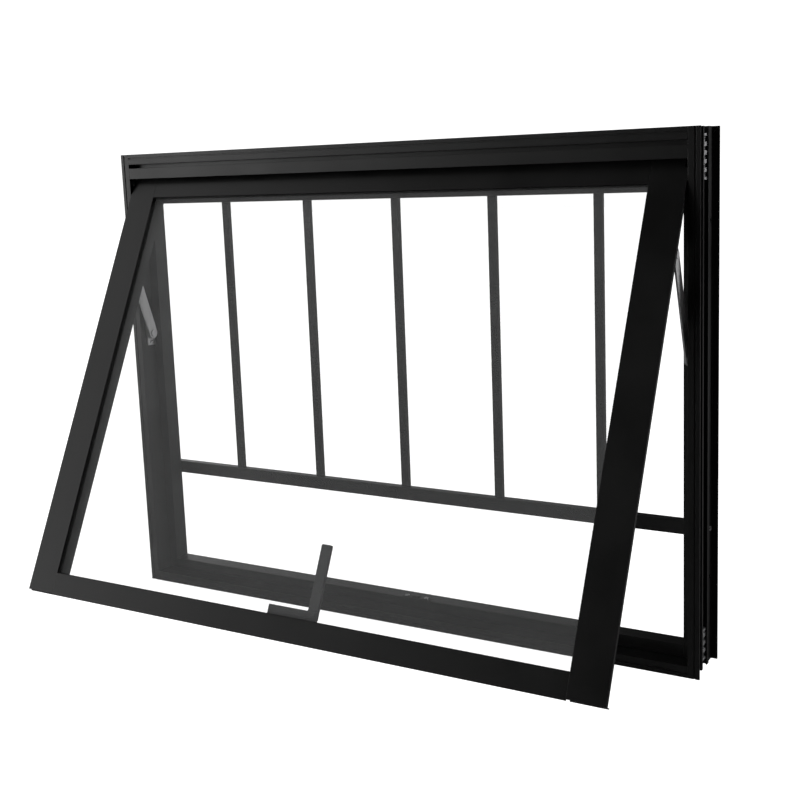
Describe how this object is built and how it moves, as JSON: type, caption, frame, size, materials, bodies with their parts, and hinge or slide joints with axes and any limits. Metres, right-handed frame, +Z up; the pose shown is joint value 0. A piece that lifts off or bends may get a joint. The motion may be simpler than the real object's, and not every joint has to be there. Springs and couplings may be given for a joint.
{
  "type": "top-hung projecting window",
  "caption": "Top-hung projecting window: black aluminium frame and glazed sash on sliding stays, inside lever handle, fixed security grille behind.",
  "frame": {"origin": "middle of the width, on the frame's outside plane, at the underside of the frame", "axes": "+X along the width to the right seen from outside, +Y from outside to the room, +Z up"},
  "size_m": [0.8, 0.3056, 0.6],
  "materials": {
    "frame_profile": "satin black powder coat",
    "sash_profile": "satin black powder coat",
    "bead_profile": "satin black powder coat",
    "grille_profile": "satin black powder coat",
    "cast_aluminium": "as cast",
    "stay_metal": "brushed",
    "screw_steel": "bright zinc",
    "seal_rubber": "matt",
    "black_plastic": "matt",
    "clear_glass": "polished",
    "handle_paint": "satin dark grey"
  },
  "bodies": {
    "frame": {"frame_head": "frame_profile", "frame_sill": "frame_profile", "left_jamb": "frame_profile", "right_jamb": "frame_profile", "head_drip_strip": "frame_profile", "frame_corner_connectors": "cast_aluminium", "frame_assembly_screws": "screw_steel", "grille_crossbar": "grille_profile", "grille_bar_1": "grille_profile", "grille_bar_2": "grille_profile", "grille_bar_3": "grille_profile", "grille_bar_4": "grille_profile", "grille_bar_5": "grille_profile", "crossbar_screws": "screw_steel", "grille_bar_screws": "screw_steel", "left_stay_track": "black_plastic", "right_stay_track": "black_plastic", "stay_track_screws": "screw_steel", "left_pivot_bracket": "stay_metal", "right_pivot_bracket": "stay_metal", "pivot_bracket_screws": "screw_steel", "handle_keeper": "black_plastic", "keeper_screws": "screw_steel"},
    "sash": {"left_stile": "sash_profile", "right_stile": "sash_profile", "sash_top_rail": "sash_profile", "sash_bottom_rail": "sash_profile", "glass_pane": "clear_glass", "front_glazing_gasket": "seal_rubber", "rear_glazing_gasket": "seal_rubber", "glass_setting_blocks": "seal_rubber", "left_glazing_bead": "bead_profile", "right_glazing_bead": "bead_profile", "top_glazing_bead": "bead_profile", "bottom_glazing_bead": "bead_profile", "sash_corner_cleats": "cast_aluminium", "sash_weather_seal": "seal_rubber", "stile_end_caps": "black_plastic", "left_sash_hinge_plate": "stay_metal", "right_sash_hinge_plate": "stay_metal", "sash_hinge_screws": "screw_steel", "handle_base": "handle_paint", "handle_base_screws": "screw_steel"},
    "left_arm": {"left_stay_arm": "stay_metal"},
    "right_arm": {"right_stay_arm": "stay_metal"},
    "left_shoe": {"left_slide_shoe": "black_plastic"},
    "right_shoe": {"right_slide_shoe": "black_plastic"},
    "handle": {"handle_lever": "handle_paint", "handle_pivot_pin": "handle_paint"}
  },
  "joints": [
    {"name": "stay_swing", "type": "hinge", "parent": "frame", "child": "left_arm", "pos_m": [-0.381, 0.018, 0.355], "axis": [1, 0, 0], "range_deg": [-18.29, 4.05]},
    {"name": "right_stay_swing", "type": "hinge", "parent": "frame", "child": "right_arm", "pos_m": [0.381, 0.018, 0.355], "axis": [1, 0, 0], "range_deg": [-18.34, 4.1]},
    {"name": "sash_swing", "type": "hinge", "parent": "left_arm", "child": "sash", "pos_m": [-0.381, -0.01997, 0.46989], "axis": [1, 0, 0], "range_deg": [-9.9, 44.54]},
    {"name": "left_shoe_turn", "type": "hinge", "parent": "sash", "child": "left_shoe", "pos_m": [-0.384, 0.018, 0.54705], "axis": [1, 0, 0], "range_deg": [-26.25, 5.85]},
    {"name": "right_shoe_turn", "type": "hinge", "parent": "sash", "child": "right_shoe", "pos_m": [0.384, 0.018, 0.54705], "axis": [1, 0, 0], "range_deg": [-26.25, 5.85]},
    {"name": "handle_turn", "type": "hinge", "parent": "sash", "child": "handle", "pos_m": [0.023, -0.19814, 0.07609], "axis": [0, 0.8973, -0.4415], "range_deg": [-90, 0]}
  ],
  "couplings": [
    {"joint": "right_stay_swing", "follows": "stay_swing", "ratio": 1},
    {"joint": "sash_swing", "follows": "stay_swing", "ratio": -2.4326},
    {"joint": "left_shoe_turn", "follows": "stay_swing", "ratio": 1.4326},
    {"joint": "right_shoe_turn", "follows": "stay_swing", "ratio": 1.4326}
  ]
}
